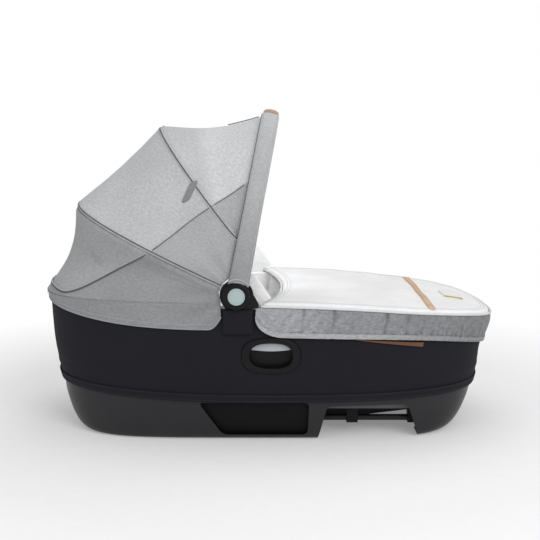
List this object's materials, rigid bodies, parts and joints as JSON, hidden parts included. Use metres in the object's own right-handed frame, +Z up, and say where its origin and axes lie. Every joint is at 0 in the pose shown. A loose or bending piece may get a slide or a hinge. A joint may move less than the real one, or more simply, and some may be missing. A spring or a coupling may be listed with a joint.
{
  "type": "carrycot",
  "caption": "Carrycot with a dark side cover on a moulded base, a grey canopy on folding bows, a carry handle with a leather grip and a pull-off foot apron.",
  "frame": {"origin": "middle of the footprint, on the surface that the base stands on", "axes": "+X towards the foot end, +Y towards the left side, +Z up"},
  "size_m": [0.8213, 0.4462, 0.573],
  "materials": {
    "base_plastic": "moulded, satin",
    "panel_plastic": "fine grained, matt",
    "deck_plastic": "moulded, matt",
    "keel_plastic": "moulded, matt",
    "bar_steel": "black powder coat",
    "tub_plastic": "moulded, matt",
    "navy_fabric": "woven, very dark blue",
    "grey_melange": "woven, flecked grey",
    "apron_fabric": "woven, flecked pale grey",
    "band_fabric": "woven, flecked mid grey",
    "liner_fabric": "soft white cotton",
    "mattress_fabric": "soft white cotton",
    "board": "hardboard",
    "hub_plastic": "black, satin",
    "button_plastic": "pale grey green, satin",
    "lever_plastic": "pale cool grey, satin",
    "bracket_plastic": "black, satin",
    "aluminium": "drawn, satin",
    "spring_steel": "bright",
    "leather": "tan, stitched",
    "batten_plastic": "flexible rod, pale"
  },
  "bodies": {
    "carrycot": {"base_shell": "base_plastic", "side_panel_left": "panel_plastic", "side_panel_right": "panel_plastic", "deck_panel": "deck_plastic", "deck_rail_left": "deck_plastic", "deck_rail_right": "deck_plastic", "keel_housing": "keel_plastic", "striker_bar_left": "bar_steel", "striker_bar_right": "bar_steel", "tub_shell": "tub_plastic", "side_cover": "navy_fabric", "cover_hem_binding": "navy_fabric", "side_tag": "leather", "liner": "liner_fabric", "liner_ear_left": "liner_fabric", "liner_ear_right": "liner_fabric", "mattress_board": "board", "mattress": "mattress_fabric", "grip_bezel_left": "hub_plastic", "grip_bezel_right": "hub_plastic", "lever_spring_left": "spring_steel", "lever_spring_right": "spring_steel", "hinge_bracket_left": "bracket_plastic", "hinge_bracket_right": "bracket_plastic", "bracket_screw_left_1": "spring_steel", "bracket_screw_left_2": "spring_steel", "bracket_screw_right_1": "spring_steel", "bracket_screw_right_2": "spring_steel", "pivot_pin_left": "spring_steel", "pivot_pin_right": "spring_steel", "canopy_skirt": "grey_melange", "canopy_rear_panel": "grey_melange"},
    "rear_bow": {"rear_bow": "aluminium"},
    "handle": {"handle_bow": "aluminium", "handle_sleeve_left": "grey_melange", "handle_sleeve_right": "grey_melange", "handle_grip": "leather", "hub_left": "hub_plastic", "hub_right": "hub_plastic", "hub_spring_left": "spring_steel", "hub_spring_right": "spring_steel", "canopy_mid_panel": "grey_melange", "canopy_front_panel": "grey_melange", "mid_batten": "batten_plastic"},
    "apron": {"apron_top": "apron_fabric", "apron_band": "band_fabric", "apron_piping": "apron_fabric", "apron_strip": "leather", "apron_patch": "apron_fabric"},
    "hub_button_left": {"hub_button_left": "button_plastic"},
    "grip_lever_left": {"grip_lever_left": "lever_plastic"},
    "hub_button_right": {"hub_button_right": "button_plastic"},
    "grip_lever_right": {"grip_lever_right": "lever_plastic"}
  },
  "joints": [
    {"name": "rear_bow_fold", "type": "hinge", "parent": "carrycot", "child": "rear_bow", "pos_m": [-0.0564, 0, 0.2613], "axis": [0, -1, 0], "range_deg": [0, 15], "deforming": ["canopy_rear_panel", "canopy_mid_panel", "canopy_front_panel", "mid_batten"]},
    {"name": "handle_fold", "type": "hinge", "parent": "rear_bow", "child": "handle", "pos_m": [-0.0564, 0, 0.2613], "axis": [0, -1, 0], "range_deg": [0, 60], "deforming": ["canopy_mid_panel", "canopy_front_panel", "mid_batten", "canopy_rear_panel"]},
    {"name": "apron_lift", "type": "slide", "parent": "carrycot", "child": "apron", "axis": [0.5, 0, 0.866], "range_m": [0, 0.16], "deforming": ["apron_band"]},
    {"name": "hub_button_left_press", "type": "slide", "parent": "handle", "child": "hub_button_left", "axis": [0, -1, 0], "range_m": [0, 0.0025], "stiffness_N_per_m": 900, "springref_m": -0.002, "deforming": ["hub_spring_left"]},
    {"name": "grip_lever_left_pull", "type": "slide", "parent": "carrycot", "child": "grip_lever_left", "axis": [0, 0, 1], "range_m": [0, 0.005], "stiffness_N_per_m": 700, "springref_m": -0.003, "deforming": ["lever_spring_left"]},
    {"name": "hub_button_right_press", "type": "slide", "parent": "handle", "child": "hub_button_right", "axis": [0, 1, 0], "range_m": [0, 0.0025], "stiffness_N_per_m": 900, "springref_m": -0.002, "deforming": ["hub_spring_right"]},
    {"name": "grip_lever_right_pull", "type": "slide", "parent": "carrycot", "child": "grip_lever_right", "axis": [0, 0, 1], "range_m": [0, 0.005], "stiffness_N_per_m": 700, "springref_m": -0.003, "deforming": ["lever_spring_right"]}
  ],
  "couplings": [
    {"joint": "rear_bow_fold", "follows": "handle_fold", "ratio": 0.25}
  ]
}
